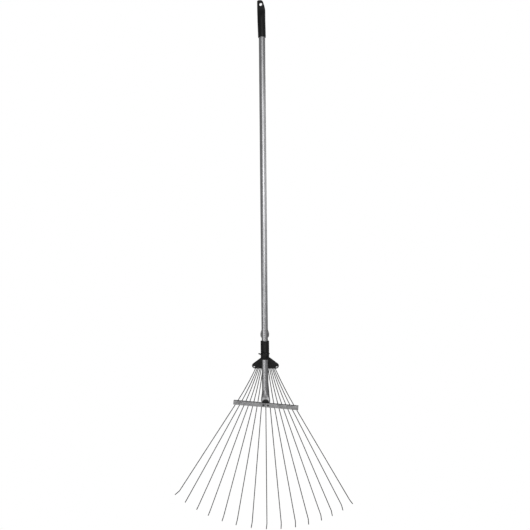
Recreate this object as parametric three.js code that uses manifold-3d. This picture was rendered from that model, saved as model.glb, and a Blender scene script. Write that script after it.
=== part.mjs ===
// Adjustable fan rake: a straight tube with a hang cap, a crossbar riveted to its
// flattened end, and fifteen spring-wire tines that pivot in a slider on the tube
// and spread through slots in the crossbar.
//
// Millimetres, +Z up. The origin is the centre of the hang hole. +X is to the right
// and -Y to the front, which is the side that the tine tips are bent towards.

import * as THREE from 'three';
import { mergeVertices } from 'three/addons/utils/BufferGeometryUtils.js';
import Module from 'manifold-3d';

const wasm = await Module();
wasm.setup();

// ---------- driving dimensions ----------

const GAP = 0.3; // between neighbours that touch

// The tube axis lies beside the hang hole, whose centre is the origin.
const TUBE_AXIS_X = 2.8;
const TUBE_R = 9.5;
const TUBE_WALL = 1.2;
const TUBE_TOP = -42;

const CAP_TOP = 12;
const CAP_BOTTOM = -98.6;
const CAP_RIM_R = 11.6; // at the open end
const CAP_GRIP_R = 11.9; // where the grip turns into the tab
const CAP_BULGE = 1.2; // extra reach of the grip to the left, on the hooked side
const CAP_TAB_LEFT = 13.6;
const CAP_TAB_HALF_THICK = 4.8;
const HANG_HOLE_HALF = { x: 4.4, z: 5.8 };

// The lower end of the tube is pressed flat against its own back wall.
const FLARE_TOP = -1150;
const FLARE_END = -1187;
const FLARE_HALF_WIDTH = 14;
const FLARE_HALF_THICK = 2.9;
const LIP_DROP = 1.2; // how much lower the middle of the front lip reaches

// The crossbar is a channel of folded sheet, open to the back, that sits tilted.
// Its web lies in front of the tongue that is left of the tube's back wall.
const BAR_CENTRE_Z = -1199.7;
const BAR_TILT = THREE.MathUtils.degToRad(4.25);
const BAR_LENGTH = 196;
const BAR_HEIGHT = 12;
const BAR_SHEET = 1.2;
const BAR_FRONT = TUBE_R - TUBE_WALL - GAP - BAR_SHEET;
const BAR_BACK = 17.7;
const BAR_RIVET_X = 6.8;
const BAR_RIVET_R = 1.6;
const TONGUE_BELOW_BAR_CENTRE = 3.4;

const TINES_PER_SIDE = 7;
const WIRE_R = 1.3;
const TINE_PLANE = 13.5; // how far the tines lie behind the tube axis
const SLOT_SPREAD = 88.5; // outermost slot to the middle, along the bar
const PEG_ROWS = [
  { z: -1081, spread: 25 },
  { z: -1075, spread: 23 },
];
const PEG_LENGTH = 5.1;
// Extra outward slope of the outermost tine at the bar, on each side.
const TINE_BOW = { left: 0.104, right: 0.086 };
const REACH_FROM = { z: -1085.6, spread: 26.9 };
const TINE_REACH = 471.8; // of the middle tine, to where its hook starts
const TINE_REACH_LOSS = 21; // how much shorter the outermost tine is
const WIRE_BEND_R = 5;
const HOOK_FORWARD = 22.5;
const HOOK_DROP = 6.2;
const OUTER_HOOK_SPLAY = THREE.MathUtils.degToRad(14);

const SLIDE_UP = 95; // travel of the slider from its widest setting to clear of the catches

const SLIDER_TOP = -1004.8;
const SLIDER_R = 12.75;
const SLIDER_BORE_R = TUBE_R + GAP;
const BARREL_END = -1060.3;
const WING_SHOULDER_Z = -1056.8;
const WING_BOTTOM = -1089.8;
const WING_TIP = { x: 32.2, z: -1081.5, r: 8.3, slope: THREE.MathUtils.degToRad(53.5) };
const WING_RIVET = { x: 34, z: -1085 };
const POCKET_TOP = -1070;
const COVER_THICK = 3.5;

const CLAMP_Z = -1045;
const BOSS_R = 8.2;
const BOSS_FACE = 19.2; // distance of the boss face in front of the tube axis
const NUT_WIDTH = 10; // across flats
const NUT_THICK = 3.7;
const NUT_OUTER = 16.9;
const PAD_THICK = 1.5;
const STUD_R = 3;
const WASHER_THICK = 1;
const KNOB_DEPTH = 10;
const KNOB_R = 6.5;
const EAR_TIP = { x: 16.9, z: 6 };

const CATCH_TOP = -971.3;
const CATCH_PEAK = -985.5;
const CATCH_BOTTOM = -995.2;
const CATCH_OUT = 12.8; // distance of the catch's crest from the tube axis
const CATCH_HALF_WIDTH = 3;
const CATCH_BASE = 7.4;

// ---------- materials ----------

const finish = (color, roughness, metalness) =>
  new THREE.MeshStandardMaterial({ color, roughness, metalness });

const satinAluminium = finish(0xb9bbbd, 0.35, 1);
const blackPlastic = finish(0x1d1d1e, 0.55, 0);
const zincSheet = finish(0x9fa1a3, 0.45, 1);
const springWire = finish(0xa4a5a7, 0.35, 1);
const zincFastener = finish(0xc4c5c6, 0.35, 1);
const springSteel = finish(0x6f7072, 0.3, 1);

// ---------- solids ----------

// Turns a closed three.js geometry into a solid that can be joined and cut.
function solid(geometry) {
  const bare = geometry.clone();
  bare.deleteAttribute('normal');
  bare.deleteAttribute('uv');
  const merged = mergeVertices(bare, 1e-4);
  const mesh = new wasm.Mesh({
    numProp: 3,
    vertProperties: new Float32Array(merged.attributes.position.array),
    triVerts: new Uint32Array(merged.index.array),
  });
  return new wasm.Manifold(mesh);
}

function geometryOf(manifold) {
  const mesh = manifold.getMesh();
  const geometry = new THREE.BufferGeometry();
  geometry.setAttribute('position', new THREE.BufferAttribute(mesh.vertProperties, 3));
  geometry.setIndex(new THREE.BufferAttribute(mesh.triVerts, 1));
  geometry.computeVertexNormals();
  return geometry;
}

function box(x0, x1, y0, y1, z0, z1) {
  const geometry = new THREE.BoxGeometry(x1 - x0, y1 - y0, z1 - z0);
  return geometry.translate((x0 + x1) / 2, (y0 + y1) / 2, (z0 + z1) / 2);
}

// A cylinder along Y from y0 to y1.
function rod(x, z, radius, y0, y1, sides = 20) {
  const geometry = new THREE.CylinderGeometry(radius, radius, y1 - y0, sides);
  return geometry.translate(x, (y0 + y1) / 2, z);
}

// A cylinder along Z on the tube axis.
function column(radius, z0, z1, sides = 36) {
  const geometry = new THREE.CylinderGeometry(radius, radius, z1 - z0, sides);
  return geometry.rotateX(Math.PI / 2).translate(0, 0, (z0 + z1) / 2);
}

// A front-view outline (its y is the object's Z), given depth along Y.
function plate(outline, y0, y1, curveSegments = 10) {
  const geometry = new THREE.ExtrudeGeometry(outline, {
    depth: y1 - y0,
    bevelEnabled: false,
    curveSegments,
  });
  return geometry.rotateX(Math.PI / 2).translate(0, y1, 0);
}

// A body of stacked sections. Each ring is a superellipse given by
// { z, left, right, front, back, squareness } measured from the tube axis.
function loft(rings, sides) {
  const count = rings.length - 1;
  const geometry = new THREE.CylinderGeometry(1, 1, count, sides, count);
  geometry.rotateX(Math.PI / 2);
  const position = geometry.attributes.position;
  for (let k = 0; k < position.count; k += 1) {
    const ring = rings[Math.round(position.getZ(k) + count / 2)];
    const reach = Math.hypot(position.getX(k), position.getY(k));
    const cos = reach < 0.5 ? 0 : position.getX(k) / reach;
    const sin = reach < 0.5 ? 0 : position.getY(k) / reach;
    const power = 2 / ring.squareness;
    const across = Math.sign(cos) * Math.abs(cos) ** power;
    const along = Math.sign(sin) * Math.abs(sin) ** power;
    const centreX = (ring.right - ring.left) / 2;
    const centreY = (ring.back - ring.front) / 2;
    const x = centreX + (across * (ring.left + ring.right)) / 2;
    const y = centreY + (along * (ring.front + ring.back)) / 2;
    position.setXYZ(k, x, y, ring.z);
  }
  return geometry;
}

// A path through its own points, with one step of a tube for each of them.
class WirePath extends THREE.Curve {
  constructor(points) {
    super();
    this.points = points;
  }

  getPoint(t) {
    const place = t * (this.points.length - 1);
    const low = Math.min(Math.floor(place), this.points.length - 2);
    return this.points[low].clone().lerp(this.points[low + 1], place - low);
  }

  getTangent(t) {
    const here = Math.round(t * (this.points.length - 1));
    const before = this.points[Math.max(here - 1, 0)];
    const at = this.points[here];
    const after = this.points[Math.min(here + 1, this.points.length - 1)];
    const arriving = at.clone().sub(before).normalize();
    const leaving = after.clone().sub(at).normalize();
    return arriving.add(leaving).normalize();
  }

  getUtoTmapping(u) {
    return u;
  }
}

function wire(points, radius, sides = 8) {
  const section = new THREE.Shape();
  section.absarc(0, 0, radius, 0, 2 * Math.PI);
  return new THREE.ExtrudeGeometry(section, {
    steps: points.length - 1,
    curveSegments: sides / 2,
    extrudePath: new WirePath(points),
  });
}

// The round corner between two straight runs that meet at a point.
function corner(at, from, to, radius, steps = 4) {
  const back = from.clone().normalize().negate();
  const ahead = to.clone().normalize();
  const half = back.angleTo(ahead) / 2;
  const cut = radius / Math.tan(half);
  const middle = back.clone().add(ahead).normalize().multiplyScalar(radius / Math.sin(half));
  const centre = at.clone().add(middle);
  const start = at.clone().addScaledVector(back, cut).sub(centre);
  const end = at.clone().addScaledVector(ahead, cut).sub(centre);
  const axis = start.clone().cross(end).normalize();
  const sweep = start.angleTo(end);
  const points = [];
  for (let k = 0; k <= steps; k += 1) {
    points.push(start.clone().applyAxisAngle(axis, (sweep * k) / steps).add(centre));
  }
  return points;
}

// ---------- tines: where each one runs ----------

const tineShare = (i) => i / TINES_PER_SIDE; // -1 at the left, +1 at the right

function slotPoint(i) {
  const along = SLOT_SPREAD * tineShare(i);
  return {
    x: along * Math.cos(BAR_TILT),
    z: BAR_CENTRE_Z - along * Math.sin(BAR_TILT),
  };
}

function pegPoint(i) {
  const row = PEG_ROWS[Math.abs(i) % PEG_ROWS.length];
  return { x: row.spread * tineShare(i), z: row.z };
}

// The tine's slope (sideways over down) at the peg and at the bar.
function tineSlopes(i) {
  const peg = pegPoint(i);
  const slot = slotPoint(i);
  const chord = (slot.x - peg.x) / (peg.z - slot.z);
  const bow = i < 0 ? TINE_BOW.left : TINE_BOW.right;
  const atBar = chord + bow * tineShare(i);
  return { atPeg: 2 * chord - atBar, atBar };
}

// Centre line of the tine in the plane of the fan, from its peg to where the hook starts.
function tineLine(i, steps = 6) {
  const peg = pegPoint(i);
  const slot = slotPoint(i);
  const drop = peg.z - slot.z;
  const { atPeg, atBar } = tineSlopes(i);
  const points = [];
  for (let k = 0; k <= steps; k += 1) {
    const t = k / steps;
    const sideways = drop * (atPeg * t + ((atBar - atPeg) * t * t) / 2);
    points.push({ x: peg.x + sideways, z: peg.z - drop * t });
  }
  const share = tineShare(i);
  const reach = TINE_REACH - TINE_REACH_LOSS * share * share;
  const used = Math.hypot(slot.x - REACH_FROM.spread * share, REACH_FROM.z - slot.z);
  const left = reach - used;
  const unit = Math.hypot(atBar, 1);
  points.push({ x: slot.x + (left * atBar) / unit, z: slot.z - left / unit });
  return points;
}

// The turn about its peg that keeps a tine in its slot once the slider has risen.
function turnAt(i, rise) {
  const peg = pegPoint(i);
  const slot = slotPoint(i);
  const { atBar } = tineSlopes(i);
  const wireAngle = Math.atan(atBar);
  const across = slot.x - peg.x;
  const down = peg.z - slot.z;
  // How far the line of the tine's straight length passes from its peg.
  const offset = across * Math.cos(wireAngle) - down * Math.sin(wireAngle);
  const distance = Math.hypot(across, down + rise);
  const sight = Math.atan2(across, down + rise);
  return wireAngle - (sight - Math.asin(offset / distance));
}

// The same turn as the joint makes it: in proportion to the slider's rise.
const jointTurn = (i, rise) => (turnAt(i, SLIDE_UP) * rise) / SLIDE_UP;

// A point of the tine once the slider has risen, along and across the tilted bar.
function onBar(i, point, rise) {
  const peg = pegPoint(i);
  const turn = jointTurn(i, rise);
  const dx = point.x - peg.x;
  const dz = point.z - peg.z;
  const x = peg.x + dx * Math.cos(turn) + dz * Math.sin(turn);
  const z = peg.z - dx * Math.sin(turn) + dz * Math.cos(turn) + rise - BAR_CENTRE_Z;
  return {
    along: x * Math.cos(BAR_TILT) - z * Math.sin(BAR_TILT),
    across: x * Math.sin(BAR_TILT) + z * Math.cos(BAR_TILT),
  };
}

// Where the tine crosses a height of the bar, lowest and highest over the slider's travel.
function crossings(i, height) {
  const line = tineLine(i, 24);
  const found = [];
  const samples = 12;
  for (let k = 0; k <= samples; k += 1) {
    const points = line.map((point) => onBar(i, point, (SLIDE_UP * k) / samples));
    for (let n = 1; n < points.length; n += 1) {
      const a = points[n - 1];
      const b = points[n];
      if (a.across >= height && b.across < height) {
        const t = (a.across - height) / (a.across - b.across);
        found.push(a.along + (b.along - a.along) * t);
      }
    }
  }
  return { low: Math.min(...found), high: Math.max(...found) };
}

// ---------- handle ----------

function makeTube() {
  const flare = (inset, z) => {
    const t = Math.min(Math.max((FLARE_TOP - z) / (FLARE_TOP - FLARE_END), 0), 1);
    const ease = t * t * (3 - 2 * t);
    const width = TUBE_R + (FLARE_HALF_WIDTH - TUBE_R) * ease;
    const front = TUBE_R + (2 * FLARE_HALF_THICK - 2 * TUBE_R) * ease;
    return {
      z,
      left: width - inset,
      right: width - inset,
      front: front - inset,
      back: TUBE_R - inset,
      squareness: 2 + 1.4 * ease ** 4,
    };
  };
  const tongueEnd = BAR_CENTRE_Z - TONGUE_BELOW_BAR_CENTRE;
  const levels = [];
  const steps = 8;
  for (let k = 0; k <= steps; k += 1) {
    levels.push(FLARE_TOP + ((FLARE_END - FLARE_TOP) * k) / steps);
  }
  const outer = [tongueEnd, ...levels.toReversed(), TUBE_TOP].map((z) => flare(0, z));
  const inner = [tongueEnd - 1, ...levels.toReversed(), TUBE_TOP + 1];
  const bore = inner.map((z) => flare(TUBE_WALL, z));
  const belowLip = new THREE.Shape();
  belowLip.moveTo(-20, FLARE_END);
  belowLip.lineTo(-FLARE_HALF_WIDTH, FLARE_END);
  belowLip.quadraticCurveTo(0, FLARE_END - 2 * LIP_DROP, FLARE_HALF_WIDTH, FLARE_END);
  belowLip.lineTo(20, FLARE_END);
  belowLip.lineTo(20, FLARE_END - 30);
  belowLip.lineTo(-20, FLARE_END - 30);
  const frontOfTongue = plate(belowLip, -20, TUBE_R - TUBE_WALL);
  let tube = solid(loft(outer, 36)).subtract(solid(loft(bore, 36)));
  tube = tube.subtract(solid(frontOfTongue));
  const slotHalf = CATCH_HALF_WIDTH + GAP;
  const catchSlot = box(-20, 20, -slotHalf, slotHalf, CATCH_BOTTOM - GAP, CATCH_TOP + GAP);
  tube = tube.subtract(solid(catchSlot));
  for (const side of [-1, 1]) {
    tube = tube.subtract(solid(rivetRod(side, BAR_RIVET_R + GAP, 0, 20)));
  }
  return geometryOf(tube);
}

// The cap is a round grip that flattens into a tab above. The tab's left edge stays
// upright, and its right edge leans in towards a narrow rounded top.
function capRing(z) {
  const shoulder = -20;
  const edge = 3.5;
  const flat = THREE.MathUtils.smoothstep(z, -46, -14);
  const grip = Math.min((z - CAP_BOTTOM) / 50, 1);
  const radius = CAP_RIM_R + (CAP_GRIP_R - CAP_RIM_R) * grip;
  const rise = Math.max((z - shoulder) / (CAP_TOP - shoulder), 0);
  const right = radius - 1.2 * grip - 8.6 * rise ** 1.6;
  const topRound = Math.max(z - (CAP_TOP - edge), 0);
  const rounding = edge - Math.sqrt(edge * edge - topRound * topRound);
  const left = radius + CAP_BULGE * grip;
  const thick = radius + (CAP_TAB_HALF_THICK - radius) * flat - rounding * 0.6;
  return {
    z,
    left: left + (CAP_TAB_LEFT - left) * flat - 1.2 * rounding,
    right: right - 1.4 * rounding,
    front: thick,
    back: thick,
    squareness: 2 + 1.6 * flat,
  };
}

function makeCap() {
  const levels = [CAP_BOTTOM, -74, -48.6];
  for (let z = -42; z < CAP_TOP - 4; z += 4) {
    levels.push(z);
  }
  levels.push(CAP_TOP - 2.2, CAP_TOP - 1, CAP_TOP - 0.3, CAP_TOP);
  const bore = column(TUBE_R + GAP, CAP_BOTTOM - 1, TUBE_TOP + GAP);
  const hole = rod(0, 0, 1, -30, 30, 28);
  hole.scale(HANG_HOLE_HALF.x, 1, HANG_HOLE_HALF.z).translate(-TUBE_AXIS_X, 0, 0);
  const body = solid(loft(levels.map(capRing), 40));
  return geometryOf(body.subtract(solid(bore)).subtract(solid(hole)));
}

// One bump of the snap catch: a long ramp above and a steep edge below.
function makeCatch(side) {
  const outline = new THREE.Shape();
  outline.moveTo(CATCH_BASE - 1.6, CATCH_TOP + 4);
  outline.lineTo(CATCH_BASE - 1.6, CATCH_BOTTOM - 3);
  outline.lineTo(CATCH_BASE, CATCH_BOTTOM - 3);
  outline.lineTo(CATCH_BASE, CATCH_BOTTOM);
  outline.lineTo(TUBE_R, CATCH_BOTTOM);
  outline.quadraticCurveTo(CATCH_OUT - 0.4, CATCH_BOTTOM + 1, CATCH_OUT, CATCH_PEAK);
  outline.quadraticCurveTo(CATCH_OUT - 0.5, CATCH_TOP - 7, TUBE_R, CATCH_TOP);
  outline.lineTo(CATCH_BASE, CATCH_TOP);
  outline.lineTo(CATCH_BASE, CATCH_TOP + 4);
  const bump = plate(outline, -CATCH_HALF_WIDTH, CATCH_HALF_WIDTH, 5);
  return side > 0 ? bump : bump.rotateZ(Math.PI);
}

// The hairpin inside the tube whose two arms push the catches out.
function makeCatchSpring() {
  const outer = CATCH_BASE - 1.6 - GAP;
  const inner = outer - 0.8;
  const top = CATCH_TOP + 3;
  const bend = CATCH_BOTTOM - 30;
  const outline = new THREE.Shape();
  outline.moveTo(outer, top);
  outline.lineTo(inner, top);
  outline.lineTo(inner, bend);
  outline.absarc(0, bend, inner, 0, Math.PI, true);
  outline.lineTo(-inner, top);
  outline.lineTo(-outer, top);
  outline.lineTo(-outer, bend);
  outline.absarc(0, bend, outer, Math.PI, 2 * Math.PI, false);
  return plate(outline, -2.5, 2.5, 12);
}

// ---------- crossbar ----------

function rivetPlace(side) {
  const x = side * BAR_RIVET_X;
  return { x, z: BAR_CENTRE_Z - x * Math.tan(BAR_TILT) };
}

function rivetRod(side, radius, y0, y1) {
  const { x, z } = rivetPlace(side);
  return rod(x, z, radius, y0, y1, 16);
}

// A rivet along Y: a shank with a domed head at the front and a flat one behind.
function rivetProfile({ shank, head, dome, front, back, foot }) {
  const points = [[0, back + foot], [head * 0.85, back + foot], [head * 0.85, back]];
  points.push([shank, back], [shank, front], [head, front]);
  points.push([head * 0.86, front - dome * 0.6], [head * 0.5, front - dome * 0.93]);
  points.push([0, front - dome]);
  const profile = points.map(([x, y]) => new THREE.Vector2(x, y)).reverse();
  return new THREE.LatheGeometry(profile, 18);
}

function makeBarRivet(side) {
  const { x, z } = rivetPlace(side);
  const rivet = rivetProfile({
    shank: BAR_RIVET_R,
    head: 2.9,
    dome: 1.4,
    front: BAR_FRONT - GAP,
    back: TUBE_R + GAP,
    foot: 0.9,
  });
  return rivet.translate(x, 0, z);
}

function makeCrossbar() {
  const half = BAR_HEIGHT / 2;
  const end = BAR_LENGTH / 2;
  let bar = solid(box(-end, end, BAR_FRONT, BAR_BACK, -half, half));
  const inside = half - BAR_SHEET;
  bar = bar.subtract(solid(
    box(-end - 1, end + 1, BAR_FRONT + BAR_SHEET, BAR_BACK + 1, -inside, inside),
  ));
  const notch = FLARE_HALF_WIDTH + 0.8;
  bar = bar.subtract(solid(
    box(-notch, notch, BAR_FRONT + BAR_SHEET, TUBE_R + 2 * GAP, 0, half + 1),
  ));
  const slotFront = TINE_PLANE - WIRE_R - GAP;
  const slotBack = TINE_PLANE + WIRE_R + GAP;
  const flange = half - BAR_SHEET / 2;
  for (let i = -TINES_PER_SIDE; i <= TINES_PER_SIDE; i += 1) {
    const lean = Math.abs(Math.atan(tineSlopes(i).atBar) - BAR_TILT);
    const room = WIRE_R / Math.cos(lean) + (BAR_SHEET / 2) * Math.tan(lean) + 0.5;
    for (const height of [-flange, flange]) {
      const { low, high } = crossings(i, height);
      bar = bar.subtract(solid(
        box(low - room, high + room, slotFront, slotBack, height - 1, height + 1),
      ));
    }
  }
  for (const side of [-1, 1]) {
    const hole = rod((side * BAR_RIVET_X) / Math.cos(BAR_TILT), 0, BAR_RIVET_R + GAP, 0, 20, 16);
    bar = bar.subtract(solid(hole));
  }
  return geometryOf(bar);
}

// ---------- tines ----------

function makeTine(i) {
  const flat = tineLine(i).map(({ x, z }) => new THREE.Vector3(x, TINE_PLANE, z));
  const peg = flat[0];
  const last = flat[flat.length - 1];
  const run = last.clone().sub(flat[flat.length - 2]).normalize();
  const splay = Math.abs(i) === TINES_PER_SIDE ? Math.sign(i) * OUTER_HOOK_SPLAY : 0;
  const hook = new THREE.Vector3(0, -HOOK_FORWARD, 0).addScaledVector(run, HOOK_DROP);
  hook.applyAxisAngle(run, -splay);
  const pegEnd = peg.clone().add(new THREE.Vector3(0, PEG_LENGTH, 0));
  const intoPeg = corner(peg, peg.clone().sub(pegEnd), flat[1].clone().sub(peg), 2, 3);
  const intoHook = corner(last, run, hook, WIRE_BEND_R, 5);
  const tip = last.clone().add(hook);
  return wire([pegEnd, ...intoPeg, ...flat.slice(1, -1), ...intoHook, tip], WIRE_R);
}

// ---------- slider ----------

function wingOutline(inset) {
  const radius = WING_TIP.r - inset;
  const outline = new THREE.Shape();
  outline.moveTo(-SLIDER_R, WING_SHOULDER_Z - inset);
  outline.absarc(-WING_TIP.x, WING_TIP.z, radius, Math.PI - WING_TIP.slope, 1.5 * Math.PI);
  outline.absarc(WING_TIP.x, WING_TIP.z, radius, 1.5 * Math.PI, 2 * Math.PI + WING_TIP.slope);
  outline.lineTo(SLIDER_R, WING_SHOULDER_Z - inset);
  return outline;
}

const COVER_FRONT = TINE_PLANE + WIRE_R + 0.4 + GAP;
const POCKET_FRONT = TINE_PLANE - WIRE_R - 0.4;
const WING_FRONT = SLIDER_BORE_R + 0.1;

function makeSliderBody() {
  const rimBack = COVER_FRONT - GAP;
  const wings = plate(wingOutline(0), WING_FRONT, rimBack);
  const spine = new THREE.Shape();
  spine.moveTo(-8, WING_SHOULDER_Z - 6);
  spine.lineTo(8, WING_SHOULDER_Z - 6);
  spine.lineTo(5, SLIDER_TOP - 12);
  spine.lineTo(-5, SLIDER_TOP - 12);
  const pocket = new THREE.Shape();
  pocket.moveTo(-26, POCKET_TOP);
  pocket.lineTo(-27.4, PEG_ROWS[0].z + 2.5);
  pocket.lineTo(-33.3, WING_BOTTOM - 1);
  pocket.lineTo(33.3, WING_BOTTOM - 1);
  pocket.lineTo(27.4, PEG_ROWS[0].z + 2.5);
  pocket.lineTo(26, POCKET_TOP);
  const nut = rod(0, CLAMP_Z, (NUT_WIDTH / 2 + GAP) / Math.cos(Math.PI / 6), -17.2, 0, 6);
  let body = solid(column(SLIDER_R, BARREL_END, SLIDER_TOP, 40))
    .add(solid(wings))
    .add(solid(plate(spine, TUBE_R, rimBack)))
    .add(solid(rod(0, CLAMP_Z, BOSS_R, -BOSS_FACE, -TUBE_R, 28)))
    .subtract(solid(column(SLIDER_BORE_R, WING_BOTTOM - 9, SLIDER_TOP + 1, 40)))
    .subtract(solid(plate(pocket, POCKET_FRONT, rimBack + 1)))
    .subtract(solid(nut))
    .subtract(solid(rod(0, CLAMP_Z, STUD_R + GAP, -30, 0)));
  for (const side of [-1, 1]) {
    const hole = rod(side * WING_RIVET.x, WING_RIVET.z, 1.8 + GAP, 0, 30, 14);
    body = body.subtract(solid(hole));
  }
  return geometryOf(body);
}

function makeBackCover() {
  let cover = solid(plate(wingOutline(0.6), COVER_FRONT, COVER_FRONT + COVER_THICK));
  for (let i = -TINES_PER_SIDE; i <= TINES_PER_SIDE; i += 1) {
    const { x, z } = pegPoint(i);
    cover = cover.subtract(solid(rod(x, z, WIRE_R + 0.35, 0, 30, 12)));
  }
  for (const side of [-1, 1]) {
    const hole = rod(side * WING_RIVET.x, WING_RIVET.z, 1.8 + GAP, 0, 30, 14);
    cover = cover.subtract(solid(hole));
  }
  return geometryOf(cover);
}

function makeWingRivet(side) {
  const rivet = rivetProfile({
    shank: 1.8,
    head: 3.2,
    dome: 1.5,
    front: WING_FRONT - GAP,
    back: COVER_FRONT + COVER_THICK + GAP,
    foot: 1,
  });
  return rivet.translate(side * WING_RIVET.x, 0, WING_RIVET.z);
}

// ---------- clamp ----------

const PAD_OUTER = SLIDER_BORE_R + 0.1 + PAD_THICK;
const WASHER_INNER = BOSS_FACE + GAP;
const KNOB_INNER = WASHER_INNER + WASHER_THICK + GAP;

function makeNut() {
  const corners = NUT_WIDTH / 2 / Math.cos(Math.PI / 6);
  const nut = rod(0, CLAMP_Z, corners, -NUT_OUTER, -NUT_OUTER + NUT_THICK, 6);
  const thread = rod(0, CLAMP_Z, STUD_R + GAP, -30, 0);
  return geometryOf(solid(nut).subtract(solid(thread)));
}

const makePad = () => rod(0, CLAMP_Z, 4.4, -PAD_OUTER, -PAD_OUTER + PAD_THICK, 24);

const makeStud = () => rod(0, CLAMP_Z, STUD_R, -KNOB_INNER - 7, -PAD_OUTER - GAP, 20);

function makeWasher() {
  const washer = rod(0, CLAMP_Z, 5.8, -WASHER_INNER - WASHER_THICK, -WASHER_INNER, 24);
  const hole = rod(0, CLAMP_Z, STUD_R + GAP, -40, 0);
  return geometryOf(solid(washer).subtract(solid(hole)));
}

function makeKnob() {
  const face = -KNOB_INNER - KNOB_DEPTH;
  const profile = [[0, face], [KNOB_R - 2, face], [KNOB_R - 0.6, face + 1.2]];
  profile.push([KNOB_R, face + 3], [KNOB_R, -KNOB_INNER], [0, -KNOB_INNER]);
  const points = profile.map(([x, y]) => new THREE.Vector2(x, y));
  let knob = solid(new THREE.LatheGeometry(points, 24).translate(0, 0, CLAMP_Z));
  for (const side of [-1, 1]) {
    const lean = Math.atan2(EAR_TIP.z, EAR_TIP.x);
    const length = Math.hypot(EAR_TIP.x, EAR_TIP.z);
    const ear = new THREE.Shape();
    ear.moveTo(2, -2.2);
    ear.lineTo(length - 1.4, -1.2);
    ear.absarc(length - 1.4, 0, 1.2, -Math.PI / 2, Math.PI / 2, false);
    ear.lineTo(2, 2.2);
    const blade = plate(ear, face + 0.8, face + KNOB_DEPTH - 2, 6).rotateY(-lean);
    if (side < 0) {
      blade.rotateZ(Math.PI);
      blade.translate(0, 2 * face + KNOB_DEPTH - 1.2, 0);
    }
    knob = knob.add(solid(blade.translate(0, 0, CLAMP_Z)));
  }
  return geometryOf(knob.subtract(solid(rod(0, CLAMP_Z, STUD_R + GAP, -KNOB_INNER - 7.5, 0))));
}

// ---------- assembly ----------

const rake = new THREE.Group();
rake.position.x = TUBE_AXIS_X;

function add(name, geometry, material, parent = rake) {
  const mesh = new THREE.Mesh(geometry, material);
  mesh.name = name;
  parent.add(mesh);
}

const SIDES = [[-1, 'left'], [1, 'right']];

add('handle_tube', makeTube(), satinAluminium);
add('grip_cap', makeCap(), blackPlastic);
add('catch_spring', makeCatchSpring(), springSteel);

const tilted = new THREE.Group();
tilted.position.z = BAR_CENTRE_Z;
tilted.rotation.y = BAR_TILT;
rake.add(tilted);
add('crossbar', makeCrossbar(), zincSheet, tilted);

add('slider_body', makeSliderBody(), blackPlastic);
add('slider_back_cover', makeBackCover(), blackPlastic);
add('clamp_nut', makeNut(), zincFastener);
add('clamp_pad', makePad(), blackPlastic);
add('clamp_stud', makeStud(), zincFastener);
add('clamp_washer', makeWasher(), zincFastener);
add('wing_knob', makeKnob(), blackPlastic);

for (const [side, word] of SIDES) {
  add(`crossbar_rivet_${word}`, makeBarRivet(side), zincFastener);
  add(`catch_${word}`, makeCatch(side), springSteel);
  add(`slider_rivet_${word}`, makeWingRivet(side), zincFastener);
  for (let n = 1; n <= TINES_PER_SIDE; n += 1) {
    add(`tine_${word}_${n}`, makeTine(side * n), springWire);
  }
}
add('tine_centre', makeTine(0), springWire);

export default rake;
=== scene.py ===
"""Looks for the adjustable fan rake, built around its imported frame.

Every piece is in metres in the frame's own axes: the origin is the hang hole, +Z is up
along the handle, -Y is the front and +X is to the right.
"""

import math

import bmesh
import bpy
from mathutils import Matrix, Vector


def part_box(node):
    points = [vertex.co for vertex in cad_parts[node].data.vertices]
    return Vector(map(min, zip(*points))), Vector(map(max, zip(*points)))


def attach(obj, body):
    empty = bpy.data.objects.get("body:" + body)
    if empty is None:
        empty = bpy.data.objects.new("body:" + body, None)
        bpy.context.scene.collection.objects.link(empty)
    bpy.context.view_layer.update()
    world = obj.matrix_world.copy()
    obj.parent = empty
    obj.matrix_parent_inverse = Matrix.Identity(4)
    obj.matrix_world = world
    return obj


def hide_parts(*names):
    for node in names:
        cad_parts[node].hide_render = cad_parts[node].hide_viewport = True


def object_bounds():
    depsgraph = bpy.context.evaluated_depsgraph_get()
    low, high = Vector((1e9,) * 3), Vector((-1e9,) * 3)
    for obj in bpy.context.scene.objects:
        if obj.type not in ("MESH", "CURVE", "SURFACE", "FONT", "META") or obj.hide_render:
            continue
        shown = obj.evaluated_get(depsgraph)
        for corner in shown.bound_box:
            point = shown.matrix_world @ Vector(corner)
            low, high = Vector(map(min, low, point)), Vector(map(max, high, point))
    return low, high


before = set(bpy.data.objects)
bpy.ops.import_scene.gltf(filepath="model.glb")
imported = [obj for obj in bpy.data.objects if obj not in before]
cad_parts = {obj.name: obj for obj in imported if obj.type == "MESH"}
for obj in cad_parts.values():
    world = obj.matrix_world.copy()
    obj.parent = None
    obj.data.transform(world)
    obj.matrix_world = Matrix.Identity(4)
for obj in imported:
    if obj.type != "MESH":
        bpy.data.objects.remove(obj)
cad_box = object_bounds()

MM = 0.001
TINES_PER_SIDE = 7
SIDES = ((-1, "left"), (1, "right"))

tube_low, tube_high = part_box("handle_tube")
cap_low, cap_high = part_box("grip_cap")
body_low, body_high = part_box("slider_body")
cover_low, cover_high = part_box("slider_back_cover")
TUBE_R = (tube_high.y - tube_low.y) / 2
TUBE_WALL = 1.2 * MM
AXIS_X = (tube_low.x + tube_high.x) / 2
CLEARANCE = 0.3 * MM


# ---------- camera and light ----------

AIM = Vector((0.0055, 0, -0.7786))
CAMERA_DISTANCE = 1.711
CAMERA_TURN = math.radians(5.2)  # the camera stands a little to the rake's right
CAMERA_ROLL = math.radians(0.54)
CAMERA_LENS = 38.9
BACKDROP_LIGHT = 0.2
FLOOR_LIGHT = 0.16
FLOOR_HALF = 30
FLOOR_GAP = 0.05


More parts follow.
